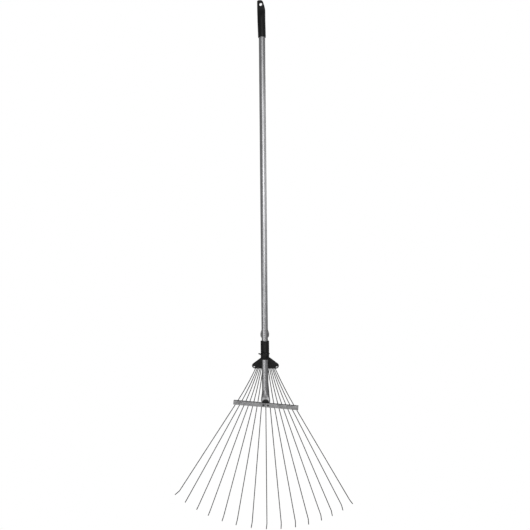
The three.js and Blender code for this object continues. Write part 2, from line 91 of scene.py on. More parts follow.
def add_camera():
    forward = Vector((-math.sin(CAMERA_TURN), math.cos(CAMERA_TURN), 0))
    level = Vector((math.cos(CAMERA_TURN), math.sin(CAMERA_TURN), 0))
    up = Vector((0, 0, 1))
    right = level * math.cos(CAMERA_ROLL) - up * math.sin(CAMERA_ROLL)
    top = up * math.cos(CAMERA_ROLL) + level * math.sin(CAMERA_ROLL)
    turn = Matrix((right, top, -forward)).transposed().to_4x4()
    data = bpy.data.cameras.new("camera")
    data.lens = CAMERA_LENS
    data.sensor_width = 36
    camera = bpy.data.objects.new("camera", data)
    camera.matrix_world = Matrix.Translation(AIM - forward * CAMERA_DISTANCE) @ turn
    bpy.context.scene.collection.objects.link(camera)
    bpy.context.scene.camera = camera


def add_softbox(name, azimuth, height, distance, width, tall, power):
    """A soft light that faces the rake. Azimuth is in degrees, positive to the right."""
    data = bpy.data.lights.new(name, "AREA")
    data.shape = "RECTANGLE"
    data.size = width
    data.size_y = tall
    data.energy = power
    light = bpy.data.objects.new(name, data)
    angle = math.radians(azimuth)
    away = Vector((math.sin(angle), -math.cos(angle), 0)) * distance
    light.location = AIM + away + Vector((0, 0, height))
    light.rotation_euler = (AIM - light.location).to_track_quat("-Z", "Y").to_euler()
    light.visible_camera = False
    bpy.context.scene.collection.objects.link(light)


def add_lights():
    # name, azimuth, height, distance, width, tall, power
    add_softbox("key_strip", 13, 1.0, 2.4, 2.0, 2.8, 14.5)
    add_softbox("high_softbox", 17, 0.5, 2.4, 2.0, 1.0, 8)
    add_softbox("low_softbox", -33, -0.5, 2.0, 1.5, 0.7, 4.2)
    add_softbox("right_panel", 84, 0.6, 2.2, 2.4, 1.2, 5)
    add_softbox("floor_card", 0, -0.75, 0.38, 0.3, 0.5, 0.42)
    add_softbox("back_strip", 150, 0.6, 2.4, 0.6, 2.0, 3)


def glow(owner, emitter, output, strength):
    """White where the camera sees it, and dimmer in what it lights and reflects."""
    owner.use_nodes = True
    nodes = owner.node_tree.nodes
    links = owner.node_tree.links
    nodes.clear()
    path = nodes.new("ShaderNodeLightPath")
    mix = nodes.new("ShaderNodeMixShader")
    out = nodes.new(output)
    links.new(path.outputs["Is Camera Ray"], mix.inputs[0])
    for slot, power in ((1, strength), (2, 1)):
        light = nodes.new(emitter)
        light.inputs["Color"].default_value = (1, 1, 1, 1)
        light.inputs["Strength"].default_value = power
        links.new(light.outputs[0], mix.inputs[slot])
    links.new(mix.outputs[0], out.inputs["Surface"])


def add_world():
    world = bpy.data.worlds.new("studio")
    bpy.context.scene.world = world
    glow(world, "ShaderNodeBackground", "ShaderNodeOutputWorld", BACKDROP_LIGHT)


def add_floor():
    """A plain floor, a little below the tine tips."""
    level = cad_box[0][2] - FLOOR_GAP
    mesh = bpy.data.meshes.new("floor")
    ends = ((-1, -1), (1, -1), (1, 1), (-1, 1))
    corners = [(x * FLOOR_HALF, y * FLOOR_HALF, level) for x, y in ends]
    mesh.from_pydata(corners, [], [(0, 1, 2, 3)])
    material = bpy.data.materials.new("floor")
    glow(material, "ShaderNodeEmission", "ShaderNodeOutputMaterial", FLOOR_LIGHT)
    mesh.materials.append(material)
    floor = bpy.data.objects.new("floor", mesh)
    bpy.context.scene.collection.objects.link(floor)


# ---------- materials ----------


class Material:
    """A Principled material, with short calls for the node patterns used here."""

    def __init__(self, name, color, metallic, roughness):
        self.data = bpy.data.materials.new(name)
        self.data.use_nodes = True
        self.nodes = self.data.node_tree.nodes
        self.links = self.data.node_tree.links
        self.shader = self.nodes["Principled BSDF"]
        self.shader.inputs["Base Color"].default_value = (*color, 1)
        self.shader.inputs["Metallic"].default_value = metallic
        self.shader.inputs["Roughness"].default_value = roughness
        self.place = self.nodes.new("ShaderNodeTexCoord")
        self.height = None

    def stretched(self, scale):
        mapping = self.nodes.new("ShaderNodeMapping")
        mapping.inputs["Scale"].default_value = scale
        self.links.new(self.place.outputs["Object"], mapping.inputs["Vector"])
        return mapping.outputs["Vector"]

    def noise(self, scale, detail, stretch=(1, 1, 1)):
        node = self.nodes.new("ShaderNodeTexNoise")
        node.inputs["Scale"].default_value = scale
        node.inputs["Detail"].default_value = detail
        self.links.new(self.stretched(stretch), node.inputs["Vector"])
        return node.outputs["Fac"]

    def cells(self, scale):
        node = self.nodes.new("ShaderNodeTexVoronoi")
        node.inputs["Scale"].default_value = scale
        self.links.new(self.stretched((1, 1, 1)), node.inputs["Vector"])
        return node.outputs["Color"]

    def ramp(self, source, stops):
        node = self.nodes.new("ShaderNodeValToRGB")
        elements = node.color_ramp.elements
        while len(elements) < len(stops):
            elements.new(0.5)
        for element, (position, color) in zip(elements, stops):
            element.position = position
            element.color = (*color, 1)
        self.links.new(source, node.inputs["Fac"])
        return node.outputs["Color"]

    def between(self, source, low, high):
        """Spreads the middle of a pattern, from 0.3 to 0.7, between two values."""
        node = self.nodes.new("ShaderNodeMapRange")
        node.inputs["From Min"].default_value = 0.3
        node.inputs["From Max"].default_value = 0.7
        node.inputs["To Min"].default_value = low
        node.inputs["To Max"].default_value = high
        self.links.new(source, node.inputs["Value"])
        return node.outputs["Result"]

    def near(self, centre, radii):
        """0 at a point, in the object's own coordinates, and 1 at the radii around it."""
        mapping = self.nodes.new("ShaderNodeMapping")
        scale = [1 / radius for radius in radii]
        mapping.inputs["Scale"].default_value = scale
        mapping.inputs["Location"].default_value = [-c * k for c, k in zip(centre, scale)]
        self.links.new(self.place.outputs["Object"], mapping.inputs["Vector"])
        length = self.nodes.new("ShaderNodeVectorMath")
        length.operation = "LENGTH"
        self.links.new(mapping.outputs["Vector"], length.inputs[0])
        return length.outputs["Value"]

    def multiply(self, first, second):
        node = self.nodes.new("ShaderNodeVectorMath")
        node.operation = "MULTIPLY"
        self.links.new(first, node.inputs[0])
        self.links.new(second, node.inputs[1])
        return node.outputs["Vector"]

    def color_from(self, source):
        self.links.new(source, self.shader.inputs["Base Color"])

    def roughness_from(self, source):
        self.links.new(source, self.shader.inputs["Roughness"])

    def bump(self, source, depth):
        """Adds a relief of that depth in metres on top of any earlier one."""
        node = self.nodes.new("ShaderNodeBump")
        node.inputs["Distance"].default_value = depth
        node.inputs["Strength"].default_value = 1
        self.links.new(source, node.inputs["Height"])
        if self.height is not None:
            self.links.new(self.height, node.inputs["Normal"])
        self.height = node.outputs["Normal"]
        self.links.new(self.height, self.shader.inputs["Normal"])


MOUTH_Z = -1189 * MM  # middle of the painted shade inside the tube's pressed mouth
MOUTH_RADII = (15 * MM, 9 * MM, 13 * MM)


def grey(value):
    """A grey with a trace of blue."""
    return (value, value, value * 1.01)


def satin_tube():
    """Drawn tube: fine lines along it, faint cloudy handling marks, and a dark patch of
    painted shade in its pressed mouth and on the lip above it."""
    made = Material("satin_tube", grey(0.62), 1, 0.34)
    lines = made.noise(900, 3, (1, 1, 0.004))
    clouds = made.noise(28, 4)
    metal = made.ramp(clouds, [(0.3, grey(0.57)), (0.7, grey(0.67))])
    # Painted shade: the colour darkens inside the pressed mouth and on the lip above it.
    mouth = made.near((AXIS_X, TUBE_R - TUBE_WALL, MOUTH_Z), MOUTH_RADII)
    painted_mouth_shade = made.ramp(mouth, [(0.7, grey(0.06)), (1, grey(1))])
    made.color_from(made.multiply(metal, painted_mouth_shade))
    made.roughness_from(made.between(lines, 0.32, 0.37))
    made.bump(lines, 0.001 * MM)
    made.bump(clouds, 0.003 * MM)
    return made.data


def black_plastic():
    """Moulded plastic: fine spark grain, with slightly glossier rubbed patches."""
    made = Material("black_plastic", grey(0.012), 0, 0.45)
    grain = made.noise(1600, 2)
    rubbed = made.noise(45, 3)
    made.color_from(made.ramp(rubbed, [(0.3, grey(0.009)), (0.7, grey(0.015))]))
    made.roughness_from(made.between(rubbed, 0.38, 0.52))
    made.bump(grain, 0.04 * MM)
    made.shader.inputs["Specular IOR Level"].default_value = 0.3
    return made.data


def zinc_sheet():
    """Plated sheet: small spangle cells, rolling lines and dull blotches."""
    made = Material("zinc_sheet", grey(0.52), 1, 0.42)
    spangle = made.cells(260)
    blotches = made.noise(90, 4)
    rolled = made.noise(700, 2, (0.02, 1, 1))
    shades = [(0.3, grey(0.32)), (0.5, grey(0.46)), (0.7, grey(0.62))]
    made.color_from(made.ramp(blotches, shades))
    made.roughness_from(made.between(spangle, 0.36, 0.5))
    made.bump(rolled, 0.015 * MM)
    made.bump(blotches, 0.06 * MM)
    return made.data


def spring_wire():
    """Plated wire: faint drawing marks and a slightly uneven coat."""
    made = Material("spring_wire", grey(0.14), 1, 0.36)
    coat = made.noise(160, 4)
    fine = made.noise(1400, 2, (1, 1, 0.1))
    made.color_from(made.ramp(coat, [(0.25, grey(0.1)), (0.75, grey(0.18))]))
    made.roughness_from(made.between(fine, 0.28, 0.44))
    made.bump(coat, 0.03 * MM)
    return made.data


def zinc_fastener():
    """Bright plated rivets, nut, stud and washer."""
    made = Material("zinc_fastener", grey(0.66), 1, 0.26)
    coat = made.noise(500, 3)
    made.color_from(made.ramp(coat, [(0.3, grey(0.58)), (0.7, grey(0.72))]))
    made.roughness_from(made.between(coat, 0.2, 0.34))
    made.bump(coat, 0.02 * MM)
    return made.data


def dark_rivet():
    """Blackened steel of the two crossbar rivets."""
    made = Material("dark_rivet", grey(0.09), 1, 0.4)
    coat = made.noise(600, 3)
    made.color_from(made.ramp(coat, [(0.3, grey(0.05)), (0.7, grey(0.13))]))
    made.roughness_from(made.between(coat, 0.32, 0.5))
    made.bump(coat, 0.03 * MM)
    return made.data


def spring_steel():
    """Tempered strip of the snap catch."""
    made = Material("spring_steel", grey(0.2), 1, 0.32)
    stain = made.noise(220, 4)
    made.color_from(made.ramp(stain, [(0.25, grey(0.13)), (0.75, grey(0.27))]))
    made.roughness_from(made.between(stain, 0.26, 0.42))
    made.bump(stain, 0.02 * MM)
    return made.data


# ---------- mesh making ----------


def object_from(name, mesh):
    made = bpy.data.objects.new(name, mesh)
    bpy.context.scene.collection.objects.link(made)
    return made


def from_rings(name, rings, closed=False):
    """A skin over rings of points with the same count; open ends are capped."""
    mesh = bpy.data.meshes.new(name)
    sides = len(rings[0])
    points = [point for ring in rings for point in ring]
    faces = []
    spans = len(rings) if closed else len(rings) - 1
    for row in range(spans):
        here = row * sides
        there = ((row + 1) % len(rings)) * sides
        for k in range(sides):
            after = (k + 1) % sides
            faces.append((here + k, here + after, there + after, there + k))
    if not closed:
        faces.append(tuple(reversed(range(sides))))
        faces.append(tuple(range(len(points) - sides, len(points))))
    mesh.from_pydata(points, [], faces)
    face_out(mesh)
    return object_from(name, mesh)


def face_out(mesh):
    work = bmesh.new()
    work.from_mesh(mesh)
    bmesh.ops.recalc_face_normals(work, faces=work.faces)
    work.to_mesh(mesh)
    work.free()


def superellipse(z, left, right, front, back, squareness, sides):
    """A ring round the tube axis with its own reach on each of the four sides."""
    ring = []
    for k in range(sides):
        angle = 2 * math.pi * k / sides
        cos, sin = math.cos(angle), math.sin(angle)
        across = math.copysign(abs(cos) ** (2 / squareness), cos)
        along = math.copysign(abs(sin) ** (2 / squareness), sin)
        x = AXIS_X + (right - left) / 2 + across * (left + right) / 2
        y = (back - front) / 2 + along * (front + back) / 2
        ring.append(Vector((x, y, z)))
    return ring


def lathe(name, profile, centre, sides, axis="Z"):
    """Turns (radius, height) points round an axis through centre. Ends lie on the axis
    or the profile closes on itself."""
    rings = []
    for radius, height in profile:
        ring = []
        for k in range(sides):
            angle = 2 * math.pi * k / sides
            u, v = radius * math.cos(angle), radius * math.sin(angle)
            offset = (u, v, height) if axis == "Z" else (u, height, v)
            ring.append(Vector(centre) + Vector(offset))
        rings.append(ring)
    return from_rings(name, rings, closed=True)


def prism(name, outline, y_front, y_back):
    """A front-view outline of (x, z) points, given depth along Y."""
    rings = [[Vector((x, y, z)) for x, z in outline] for y in (y_front, y_back)]
    return from_rings(name, rings)


def box(name, low, high):
    corners = [(low[0], low[2]), (high[0], low[2]), (high[0], high[2]), (low[0], high[2])]
    return prism(name, corners, low[1], high[1])


def rod(name, x, z, radius, y_front, y_back, sides=32):
    """A plain cylinder along Y, used to cut holes."""
    outline = []
    for k in range(sides):
        angle = 2 * math.pi * k / sides
        outline.append((x + radius * math.cos(angle), z + radius * math.sin(angle)))
    return prism(name, outline, y_front, y_back)


def arc(centre, radius, start, end, steps):
    """Points of an arc, with its angles in degrees."""
    points = []
    for k in range(steps + 1):
        angle = math.radians(start + (end - start) * k / steps)
        x = centre[0] + radius * math.cos(angle)
        points.append((x, centre[1] + radius * math.sin(angle)))
    return points


def sweep(name, path, radii, sides=16):
    """A round wire along a path, with its own radius at each point."""
    rings = []
    side = None
    for k, point in enumerate(path):
        ahead = path[min(k + 1, len(path) - 1)] - path[max(k - 1, 0)]
        ahead.normalize()
        if side is None:
            side = ahead.orthogonal().normalized()
        side = (side - ahead * side.dot(ahead)).normalized()
        other = ahead.cross(side)
        ring = []
        for n in range(sides):
            angle = 2 * math.pi * n / sides
            offset = side * math.cos(angle) + other * math.sin(angle)
            ring.append(point + offset * radii[k])
        rings.append(ring)
    return from_rings(name, rings)


def round_corner(at, before, after, radius, steps):
    """The round bend at a corner between two straight runs."""
    back = (before - at).normalized()
    ahead = (after - at).normalized()
    half = back.angle(ahead) / 2
    centre = at + (back + ahead).normalized() * (radius / math.sin(half))
    start = at + back * (radius / math.tan(half)) - centre
    end = at + ahead * (radius / math.tan(half)) - centre
    axis = start.cross(end).normalized()
    sweep_angle = start.angle(end)
    points = []
    for k in range(steps + 1):
        turn = Matrix.Rotation(sweep_angle * k / steps, 3, axis)
        points.append(turn @ start + centre)
    return points


def combine(base, others, operation):
    """Joins or cuts base with other objects, which are then gone."""
    for other in others:
        modifier = base.modifiers.new("boolean", "BOOLEAN")
        modifier.operation = operation
        modifier.solver = "EXACT"
        modifier.object = other
    settle(base)
    for other in others:
        mesh = other.data
        bpy.data.objects.remove(other)
        bpy.data.meshes.remove(mesh)


def settle(made):
    """Turns an object's modifiers into its mesh."""
    graph = bpy.context.evaluated_depsgraph_get()
    mesh = bpy.data.meshes.new_from_object(made.evaluated_get(graph))
    old = made.data
    made.modifiers.clear()
    made.data = mesh
    mesh.name = made.name
    bpy.data.meshes.remove(old)


def soften(made, width, segments, angle=32):
    """Rounds the edges that turn by more than that angle in degrees."""
    bevel = made.modifiers.new("bevel", "BEVEL")
    bevel.width = width
    bevel.segments = segments
    bevel.limit_method = "ANGLE"
    bevel.angle_limit = math.radians(angle)
    bevel.harden_normals = False


def dress(made, material, body, node, sharp):
    """Gives a piece its finish and its body, and hides the CAD node that it stands for. Edges
    sharper than that many degrees are drawn sharp."""
    settle(made)
    mesh = made.data
    mesh.materials.clear()
    mesh.materials.append(material)
    mesh.polygons.foreach_set("use_smooth", [True] * len(mesh.polygons))
    mesh.set_sharp_from_angle(angle=math.radians(sharp))
    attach(made, body)
    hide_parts(node)


# ---------- handle ----------

FLARE_TOP = -1150 * MM
FLARE_END = -1187 * MM
FLARE_HALF_WIDTH = (tube_high.x - tube_low.x) / 2
FLARE_THICK = 5.8 * MM
FLARE_SQUARENESS = 1.4
LIP_DROP = 1.2 * MM
DENT_DEPTH = 1.5 * MM
DENT_HALF_WIDTH = 7 * MM
DENT_TOP = FLARE_TOP - 18 * MM
TUBE_SIDES = 72
BAR_RIVET_R = 1.6 * MM
CUT_PAST = 20 * MM  # how far a cutter reaches from the tube's axis
CATCH_OUT = 12.8 * MM
CATCH_BASE = 7.4 * MM
CATCH_STRIP = 1.6 * MM
CATCH_PEAK = -985.5 * MM
CATCH_ABOVE = 4 * MM  # how far the strip inside the tube reaches past the bump
CATCH_BELOW = 3 * MM


def smooth_step(value, low, high):
    t = min(max((value - low) / (high - low), 0), 1)
    return t * t * (3 - 2 * t)


def tube_ring(z, inset):
    """A section of the tube, which is pressed flat against its back wall at the end, with
    a dent down the middle of its front."""
    ease = smooth_step(-z, -FLARE_TOP, -FLARE_END)
    width = TUBE_R + (FLARE_HALF_WIDTH - TUBE_R) * ease - inset
    front = TUBE_R + (FLARE_THICK - 2 * TUBE_R) * ease - inset
    squareness = 2 + FLARE_SQUARENESS * ease**4
    ring = superellipse(z, width, width, front, TUBE_R - inset, squareness, TUBE_SIDES)
    dent = DENT_DEPTH * smooth_step(-z, -DENT_TOP, -FLARE_END)
    middle = (TUBE_R - front - inset) / 2
    for point in ring:
        if point.y < middle:
            across = (point.x - AXIS_X) / DENT_HALF_WIDTH
            point.y += dent * math.exp(-across * across)
    return ring


def make_tube(material):
    """One skin, outside and inside, with a curved lip and holes for catches and rivets."""
    end = tube_low.z
    levels = [tube_high.z, -300 * MM, -600 * MM, -900 * MM, -1000 * MM, -1100 * MM]
    steps = 30
    levels += [FLARE_TOP + (FLARE_END - FLARE_TOP) * k / steps for k in range(steps + 1)]
    levels += [FLARE_END - 3 * MM, FLARE_END - 7 * MM, end]
    outer = [tube_ring(z, 0) for z in levels]
    inner = [tube_ring(z, TUBE_WALL) for z in reversed(levels)]
    tube = from_rings("handle_tube_skin", outer + inner, closed=True)
    lip = []
    steps = 24
    for k in range(steps + 1):
        u = 2 * k / steps - 1
        drop = LIP_DROP * (1 - u * u)
        lip.append((AXIS_X + u * (FLARE_HALF_WIDTH + MM), FLARE_END - drop))
    right, left = lip[-1][0], lip[0][0]
    outline = lip + [(right, end - 9 * MM), (left, end - 9 * MM)]
    cutters = [prism("below_lip", outline, -CUT_PAST, TUBE_R - TUBE_WALL)]
    catch_low, catch_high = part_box("catch_left")
    slot_low = catch_low.z + CATCH_BELOW - CLEARANCE
    slot_high = catch_high.z - CATCH_ABOVE + CLEARANCE
    half = catch_high.y + CLEARANCE
    slots = ((AXIS_X - CUT_PAST, -half, slot_low), (AXIS_X + CUT_PAST, half, slot_high))
    cutters.append(box("catch_slots", *slots))
    for word in ("left", "right"):
        low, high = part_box(f"crossbar_rivet_{word}")
        x, z = (low.x + high.x) / 2, (low.z + high.z) / 2
        cutters.append(rod("rivet_hole", x, z, BAR_RIVET_R + CLEARANCE, 0, CUT_PAST))
    combine(tube, cutters, "DIFFERENCE")
    soften(tube, 0.25 * MM, 2)
    dress(tube, material, "handle", "handle_tube", sharp=35)


CAP_RIM_R = 11.6 * MM
CAP_GRIP_R = 11.9 * MM
CAP_BULGE = 1.2 * MM
CAP_TAB_LEFT = 13.6 * MM
CAP_TAB_HALF = 4.8 * MM
CAP_FLAT_FROM = -46 * MM  # the grip starts to flatten here and is a flat tab at CAP_FLAT_TO
CAP_FLAT_TO = -14 * MM
CAP_SHOULDER = -20 * MM
CAP_TAPER = 1.2 * MM  # how far the right side draws in up the grip
CAP_LEAN = 8.6 * MM  # and how much further it leans in above the shoulder
CAP_GRIP_LENGTH = 50 * MM
CAP_EDGE = 3.5 * MM
HANG_HOLE_HALF_X = 4.4 * MM
HANG_HOLE_HALF_Z = 5.8 * MM
HANG_HOLE_EDGE = 1.2 * MM


def cap_ring(z):
    """The cap: a round grip that flattens into a tab, whose right edge leans in above."""
    top = cap_high.z
    grip = min((z - cap_low.z) / CAP_GRIP_LENGTH, 1)
    radius = CAP_RIM_R + (CAP_GRIP_R - CAP_RIM_R) * grip
    flat = smooth_step(z, CAP_FLAT_FROM, CAP_FLAT_TO)
    rise = max((z - CAP_SHOULDER) / (top - CAP_SHOULDER), 0)
    near_top = max(z - (top - CAP_EDGE), 0)
    rounding = CAP_EDGE - math.sqrt(CAP_EDGE**2 - near_top**2)
    near_rim = max(cap_low.z + MM - z, 0)
    rim = MM - math.sqrt(max(MM**2 - near_rim**2, 0))
    side = radius + CAP_BULGE * grip
    # The top edge is rounded more at the sides than on the front and back.
    left = side + (CAP_TAB_LEFT - side) * flat - 1.2 * rounding - rim
    right = radius - CAP_TAPER * grip - CAP_LEAN * rise**1.6 - 1.4 * rounding - rim
    thick = radius + (CAP_TAB_HALF - radius) * flat - 0.6 * rounding - rim
    return superellipse(z, left, right, thick, thick, 2 + 1.6 * flat, 96)


def flared_hole(name, half_x, half_z, half_depth, edge):
    """A cutter for an oval hole along Y through the origin, with rounded mouths."""
    rings = []
    sides = 56
    steps = 8
    offsets = [-half_depth - 4 * MM]
    offsets += [-half_depth + edge * (k / steps) for k in range(steps + 1)]
    offsets += [-y for y in reversed(offsets)]
    for y in offsets:
        inside = min(max((abs(y) - half_depth + edge) / edge, 0), 1)
        grow = edge * (1 - math.sqrt(1 - inside * inside))
        outline = []
        for k in range(sides):
            angle = 2 * math.pi * k / sides
            x = (half_x + grow) * math.cos(angle)
            outline.append(Vector((x, y, (half_z + grow) * math.sin(angle))))
        rings.append(outline)
    return from_rings(name, rings)


def make_cap(material):
    """The cap with its bore for the tube and its oval hang hole."""
    top = cap_high.z
    levels = [cap_low.z + MM * (1 - math.cos(math.pi / 2 * k / 5)) for k in range(6)]
    levels += [-85 * MM, -70 * MM, -48.6 * MM]
    count = 34
    start, stop = CAP_FLAT_FROM, top - CAP_EDGE
    levels += [start + (stop - start) * k / count for k in range(count + 1)]
    levels += [stop + CAP_EDGE * math.sin(math.pi / 2 * k / 7) for k in range(1, 8)]
    cap = from_rings("grip_cap_skin", [cap_ring(z) for z in levels])
    depth = tube_high.z + CLEARANCE - cap_low.z + MM
    bore = rod("bore", 0, 0, TUBE_R + CLEARANCE, 0, depth, 64)
    bore.data.transform(Matrix.Rotation(math.radians(90), 4, "X"))
    bore.data.transform(Matrix.Translation((AXIS_X, 0, cap_low.z - MM)))
    hole = flared_hole("hole", HANG_HOLE_HALF_X, HANG_HOLE_HALF_Z, CAP_TAB_HALF, HANG_HOLE_EDGE)
    combine(cap, [bore, hole], "DIFFERENCE")
    dress(cap, material, "handle", "grip_cap", sharp=50)


def make_catch(material, side, word):
    """A snap catch: its bump, and the strip inside the tube that carries it."""
    low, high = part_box(f"catch_{word}")
    top, bottom = high.z - CATCH_ABOVE, low.z + CATCH_BELOW
    back = CATCH_BASE - CATCH_STRIP
    outline = [(back, high.z), (CATCH_BASE, high.z), (CATCH_BASE, top), (TUBE_R, top)]
    steps = 14
    for k in range(1, steps + 1):
        t = k / steps
        x = TUBE_R + (CATCH_OUT - TUBE_R) * math.sin(math.pi / 2 * t) ** 1.3
        outline.append((x, top + (CATCH_PEAK - top) * t))
    for k in range(1, steps):
        t = k / steps
        x = TUBE_R + (CATCH_OUT - TUBE_R) * math.sqrt(1 - t * t)
        outline.append((x, CATCH_PEAK + (bottom - CATCH_PEAK) * t))
    outline += [(TUBE_R, bottom), (CATCH_BASE, bottom), (CATCH_BASE, low.z), (back, low.z)]
    outline = [(AXIS_X + side * x, z) for x, z in outline]
    bump = prism(f"catch_{word}_bump", outline, low.y, high.y)
    soften(bump, 0.5 * MM, 3, 40)
    dress(bump, material, f"catch_{word}", f"catch_{word}", sharp=50)


# ---------- crossbar ----------

BAR_TILT = math.radians(4.25)
BAR_CENTRE = Vector((AXIS_X, 0, -1199.7 * MM))


def dress_crossbar(material):
    """The CAD channel stays. Its slot walls and folds get small rounded edges."""
    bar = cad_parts["crossbar"]
    flat = bar.modifiers.new("flat_faces", "DECIMATE")
    flat.decimate_type = "DISSOLVE"
    flat.angle_limit = math.radians(1)
    soften(bar, 0.28 * MM, 2, 30)
    give(bar, material)


def give(node, material):
    """A finish for a CAD node that stays."""
    node.data.materials.clear()
    node.data.materials.append(material)


def rivet_profile(shank, head, dome, front, back, foot):
    """A rivet's half section from its domed front to the formed head behind, along Y."""
    points = [(0, front - dome)]
    steps = 10
    for k in range(1, steps + 1):
        angle = math.pi / 2 * k / steps
        points.append((head * math.sin(angle), front - dome * math.cos(angle) ** 0.8))
    points += [(shank, front), (shank, back)]
    for k in range(steps + 1):
        angle = math.pi / 2 * k / steps
        points.append((head * 0.85 * math.cos(angle) ** 0.35, back + foot * math.sin(angle)))
    return points


def make_rivet(material, node, body, shank, dome, foot):
    """A rivet as long and wide as its CAD node."""
    low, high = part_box(node)
    head = (high.x - low.x) / 2
    profile = rivet_profile(shank, head, dome, low.y + dome, high.y - foot, foot)
    centre = ((low.x + high.x) / 2, 0, (low.z + high.z) / 2)
    rivet = lathe(f"{node}_turned", profile, centre, 40, "Y")
    dress(rivet, material, body, node, sharp=50)


def make_bar_rivet(material, node):
    make_rivet(material, node, "handle", BAR_RIVET_R, dome=1.4 * MM, foot=0.9 * MM)


def make_wing_rivet(material, node):
    make_rivet(material, node, "slider", WING_RIVET_R, dome=1.5 * MM, foot=MM)


# ---------- tines ----------

WIRE_R = 1.3 * MM
TINE_PLANE = 13.5 * MM
SLOT_SPREAD = 88.5 * MM
PEG_ROWS = ((-1081 * MM, 25 * MM), (-1075 * MM, 23 * MM))
PEG_LENGTH = 5.1 * MM
TINE_BOW_LEFT = 0.104
TINE_BOW_RIGHT = 0.086
REACH_FROM_Z = -1085.6 * MM
REACH_FROM_SPREAD = 26.9 * MM
TINE_REACH = 471.8 * MM
TINE_REACH_LOSS = 21 * MM
HOOK_FORWARD = 22.5 * MM
HOOK_DROP = 6.2 * MM
OUTER_HOOK_SPLAY = math.radians(14)
PEG_BEND = 2 * MM
HOOK_BEND = 5 * MM
# Distance from the tip, in wire radii, and the share of its full thickness there.
ROUNDED_TIP = ((1, 1), (0.6, 0.97), (0.3, 0.86), (0.08, 0.62), (0, 0.35))


def tine_line(i):
    """Centre line in the fan's plane, from the peg to where the hook starts. The wire bows
    outwards down to the bar and is straight below it."""
    share = i / TINES_PER_SIDE
    peg_z, spread = PEG_ROWS[abs(i) % 2]
    peg_x = spread * share
    slot_x = SLOT_SPREAD * share * math.cos(BAR_TILT)
    slot_z = BAR_CENTRE.z - SLOT_SPREAD * share * math.sin(BAR_TILT)
    drop = peg_z - slot_z
    chord = (slot_x - peg_x) / drop
    at_bar = chord + (TINE_BOW_LEFT if i < 0 else TINE_BOW_RIGHT) * share
    at_peg = 2 * chord - at_bar
    points = []
    steps = 18
    for k in range(steps + 1):
        t = k / steps
        x = peg_x + drop * (at_peg * t + (at_bar - at_peg) * t * t / 2)
        points.append(Vector((AXIS_X + x, TINE_PLANE, peg_z - drop * t)))
    used = math.hypot(slot_x - REACH_FROM_SPREAD * share, REACH_FROM_Z - slot_z)
    remaining = TINE_REACH - TINE_REACH_LOSS * share * share - used
    run = Vector((at_bar, 0, -1)).normalized()
    points.append(points[-1] + run * remaining)
    return points, run


def make_tine(material, i, name, body):
    """One wire, with its top bent back as a peg and a hook at its lower end. Tines count
    from the centre, negative to the left."""
    flat, run = tine_line(i)
    peg, last = flat[0], flat[-1]
    splay = math.copysign(OUTER_HOOK_SPLAY, i) if abs(i) == TINES_PER_SIDE else 0
    hook = Vector((0, -HOOK_FORWARD, 0)) + run * HOOK_DROP
    hook = Matrix.Rotation(-splay, 3, run) @ hook
    peg_end = peg + Vector((0, PEG_LENGTH, 0))
    tip = last + hook
    path = [peg_end] + round_corner(peg, peg_end, flat[1], PEG_BEND, 8)
    path += flat[1:-1]
    path += round_corner(last, flat[-2], tip, HOOK_BEND, 16)
    radii = [WIRE_R] * len(path)
    end = hook.normalized()
    for before, share in ROUNDED_TIP:
        path.append(tip - end * WIRE_R * before)
        radii.append(WIRE_R * share)
    wire = sweep(f"{name}_wire", path, radii)
    dress(wire, material, body, name, sharp=60)


# ---------- slider ----------

SLIDER_R = 12.75 * MM
SLIDER_BORE_R = TUBE_R + CLEARANCE
SLIDER_TOP = body_high.z
BARREL_END = -1060.3 * MM
WING_SHOULDER = -1056.8 * MM
WING_BOTTOM = body_low.z
WING_TIP_X = 32.2 * MM
WING_TIP_Z = -1081.5 * MM
WING_TIP_R = WING_TIP_Z - WING_BOTTOM
WING_SLOPE = 53.5
WING_FRONT = SLIDER_BORE_R + 0.1 * MM
RIM_BACK = body_high.y
HOLE_DEPTH = 30 * MM  # from the tube's axis, past the slider in front or behind
PEG_HOLE_R = WIRE_R + 0.35 * MM
COVER_INSET = 0.6 * MM
POCKET_FRONT = TINE_PLANE - WIRE_R - 0.4 * MM
POCKET_TOP = -1070 * MM
POCKET_CORNER = PEG_ROWS[0][0] + 2.5 * MM
POCKET_HALF_WIDTHS = (26, 27.4, 33.3)
SPINE_TOP = SLIDER_TOP - 12 * MM
SPINE_BOTTOM = WING_SHOULDER - 6 * MM
SPINE_HALF_WIDTHS = (5, 8)
BARREL_SIDES = 72
CLAMP_Z = -1045 * MM
BOSS_R = 8.2 * MM
BOSS_FACE = body_low.y
NUT_POCKET_R = 6.12 * MM
NUT_POCKET_FRONT = -17.2 * MM
STUD_HOLE_R = 3.3 * MM
WING_RIVET_R = 1.8 * MM
RIM_EDGE = 1.1 * MM
TOP_CHAMFER = 0.6 * MM


def wing_outline(inset):
    """The two wings from the front, with round tips and straight sloping shoulders."""
    radius = WING_TIP_R - inset
    outline = [(AXIS_X - SLIDER_R, WING_SHOULDER - inset)]
    left, right = AXIS_X - WING_TIP_X, AXIS_X + WING_TIP_X
    outline += arc((left, WING_TIP_Z), radius, 180 - WING_SLOPE, 270, 14)
    outline += arc((right, WING_TIP_Z), radius, 270, 360 + WING_SLOPE, 14)
    outline.append((AXIS_X + SLIDER_R, WING_SHOULDER - inset))
    return outline


def across_axis(half_widths, levels):
    """An outline with its own half width, in mm, at each level from the top down."""
    pairs = list(zip(half_widths, levels))
    right = [(AXIS_X + x * MM, z) for x, z in pairs]
    left = [(AXIS_X - x * MM, z) for x, z in reversed(pairs)]
    return right + left


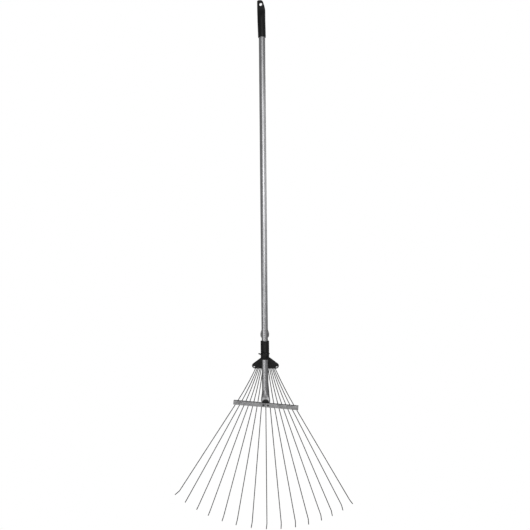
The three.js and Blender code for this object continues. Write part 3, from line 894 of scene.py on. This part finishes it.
def barrel_profile():
    """Half section of the barrel, with rounded rims."""
    core = SLIDER_R - RIM_EDGE
    points = [(SLIDER_BORE_R, BARREL_END)]
    points += arc((core, BARREL_END + RIM_EDGE), RIM_EDGE, -90, 0, 6)
    points += arc((core, SLIDER_TOP - RIM_EDGE), RIM_EDGE, 0, 90, 6)
    points.append((SLIDER_BORE_R + TOP_CHAMFER, SLIDER_TOP))
    points.append((SLIDER_BORE_R, SLIDER_TOP - TOP_CHAMFER))
    return points


def rivet_holes():
    """Cutters for the two wing rivets, through the body and the cover."""
    holes = []
    for _, word in SIDES:
        low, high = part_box(f"slider_rivet_{word}")
        x, z = (low.x + high.x) / 2, (low.z + high.z) / 2
        holes.append(rod("rivet_hole", x, z, WING_RIVET_R + CLEARANCE, 0, HOLE_DEPTH))
    return holes


def make_slider_body(material):
    """A barrel on the tube, with wings and a spine behind it and a clamp boss in front."""
    centre = (AXIS_X, 0, 0)
    body = lathe("slider_body_shell", barrel_profile(), centre, BARREL_SIDES)
    wings = prism("wings", wing_outline(0), WING_FRONT, RIM_BACK)
    spine_outline = across_axis(SPINE_HALF_WIDTHS, (SPINE_TOP, SPINE_BOTTOM))
    spine = prism("spine", spine_outline, TUBE_R, RIM_BACK)
    boss = rod("boss", AXIS_X, CLAMP_Z, BOSS_R, BOSS_FACE, -TUBE_R, 56)
    combine(body, [wings, spine, boss], "UNION")
    low, high = WING_BOTTOM - 9 * MM, SLIDER_TOP - 2 * MM
    bore_profile = [(0, low), (SLIDER_BORE_R, low), (SLIDER_BORE_R, high), (0, high)]
    bore = lathe("bore", bore_profile, centre, BARREL_SIDES)
    pocket_levels = (POCKET_TOP, POCKET_CORNER, WING_BOTTOM - MM)
    pocket_outline = across_axis(POCKET_HALF_WIDTHS, pocket_levels)
    pocket = prism("pocket", pocket_outline, POCKET_FRONT, RIM_BACK + MM)
    nut = rod("nut_pocket", AXIS_X, CLAMP_Z, NUT_POCKET_R, NUT_POCKET_FRONT, 0, 6)
    stud = rod("stud_hole", AXIS_X, CLAMP_Z, STUD_HOLE_R, -HOLE_DEPTH, 0)
    combine(body, [bore, pocket, nut, stud] + rivet_holes(), "DIFFERENCE")
    soften(body, 0.5 * MM, 3, 38)
    dress(body, material, "slider", "slider_body", sharp=42)


def make_back_cover(material):
    """The plate that closes the pocket behind the wings and holds the tines' pegs."""
    outline = wing_outline(COVER_INSET)
    cover = prism("slider_back_plate", outline, cover_low.y, cover_high.y)
    holes = rivet_holes()
    for i in range(-TINES_PER_SIDE, TINES_PER_SIDE + 1):
        z, spread = PEG_ROWS[abs(i) % 2]
        x = AXIS_X + spread * i / TINES_PER_SIDE
        holes.append(rod("peg_hole", x, z, PEG_HOLE_R, 0, HOLE_DEPTH, 20))
    combine(cover, holes, "DIFFERENCE")
    soften(cover, 0.4 * MM, 3, 38)
    dress(cover, material, "slider", "slider_back_cover", sharp=42)


# ---------- clamp ----------


def make_washer(material):
    low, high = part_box("clamp_washer")
    outer, edge = (high.x - low.x) / 2, 0.25 * MM
    profile = [(STUD_HOLE_R, low.y), (outer - edge, low.y), (outer, low.y + edge)]
    profile += [(outer, high.y - edge), (outer - edge, high.y), (STUD_HOLE_R, high.y)]
    washer = lathe("clamp_washer_disc", profile, (AXIS_X, 0, CLAMP_Z), 48, "Y")
    dress(washer, material, "wing_screw", "clamp_washer", sharp=35)


KNOB_R = 6.5 * MM
KNOB_EDGE = 2.2 * MM
KNOB_CROWN = 2.6 * MM
KNOB_SOCKET = 7.5 * MM
EAR_TIP_X = 16.9 * MM
EAR_TIP_Z = 6 * MM
EAR_ROOT = (2 * MM, 2.2 * MM)  # where an ear starts, and its half width there
EAR_TIP_R = 1.3 * MM
EAR_SHORT = 1.4 * MM
EAR_FRONT = 0.7 * MM
EAR_BACK = 1.9 * MM


def make_knob(material):
    """A round hub with two thin raised ears, fused with soft moulded fillets."""
    low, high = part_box("wing_knob")
    face, inner = low.y, high.y
    profile = [(0, face), (KNOB_R - KNOB_EDGE, face)]
    steps = 6
    for k in range(1, steps + 1):
        angle = math.pi / 2 * k / steps
        radius = KNOB_R - KNOB_EDGE * (1 - math.sin(angle))
        profile.append((radius, face + KNOB_CROWN * (1 - math.cos(angle))))
    profile += [(KNOB_R, inner), (0, inner)]
    knob = lathe("wing_knob_moulding", profile, (AXIS_X, 0, CLAMP_Z), 64, "Y")
    lean = math.atan2(EAR_TIP_Z, EAR_TIP_X)
    round_end = math.hypot(EAR_TIP_X, EAR_TIP_Z) - EAR_SHORT
    root, half = EAR_ROOT
    ears = []
    for side, _ in SIDES:
        outline = [(root, -half)] + arc((round_end, 0), EAR_TIP_R, -90, 90, 8) + [(root, half)]
        ear = prism("ear", outline, face + EAR_FRONT, inner - EAR_BACK)
        ear.data.transform(Matrix.Rotation(-lean, 4, "Y"))
        if side < 0:
            ear.data.transform(Matrix.Scale(-1, 4, Vector((1, 0, 0))))
            ear.data.flip_normals()
        ear.data.transform(Matrix.Translation((AXIS_X, 0, CLAMP_Z)))
        ears.append(ear)
    combine(knob, ears, "UNION")
    socket = rod("stud_hole", AXIS_X, CLAMP_Z, STUD_HOLE_R, inner - KNOB_SOCKET, 0)
    combine(knob, [socket], "DIFFERENCE")
    remesh = knob.modifiers.new("one_skin", "REMESH")
    remesh.mode = "VOXEL"
    remesh.voxel_size = 0.4 * MM
    smooth = knob.modifiers.new("fillets", "SMOOTH")
    smooth.factor = 0.5
    smooth.iterations = 4
    dress(knob, material, "wing_screw", "wing_knob", sharp=60)


# ---------- whole rake ----------

tube_metal = satin_tube()
plastic = black_plastic()
bar_sheet = zinc_sheet()
wire_metal = spring_wire()
fastener = zinc_fastener()
blackened = dark_rivet()
strip = spring_steel()

make_tube(tube_metal)
make_cap(plastic)
dress_crossbar(bar_sheet)
make_slider_body(plastic)
make_back_cover(plastic)
make_washer(fastener)
make_knob(plastic)

for side, word in SIDES:
    make_catch(strip, side, word)
    make_bar_rivet(blackened, f"crossbar_rivet_{word}")
    make_wing_rivet(fastener, f"slider_rivet_{word}")
    for n in range(1, TINES_PER_SIDE + 1):
        make_tine(wire_metal, side * n, f"tine_{word}_{n}", f"{word}_tine_{n}")
make_tine(wire_metal, 0, "tine_centre", "slider")

# These CAD nodes stay as they are, with rounded edges.
KEPT_NODES = (
    ("clamp_nut", fastener, 0.2 * MM, 2),
    ("clamp_stud", fastener, 0.2 * MM, 2),
    ("catch_spring", strip, 0.2 * MM, 2),
    ("clamp_pad", plastic, 0.3 * MM, 3),
)
for name, material, edge, segments in KEPT_NODES:
    soften(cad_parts[name], edge, segments, 40)
    give(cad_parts[name], material)

add_camera()
add_lights()
add_world()
add_floor()
bpy.context.scene.view_settings.view_transform = "Standard"
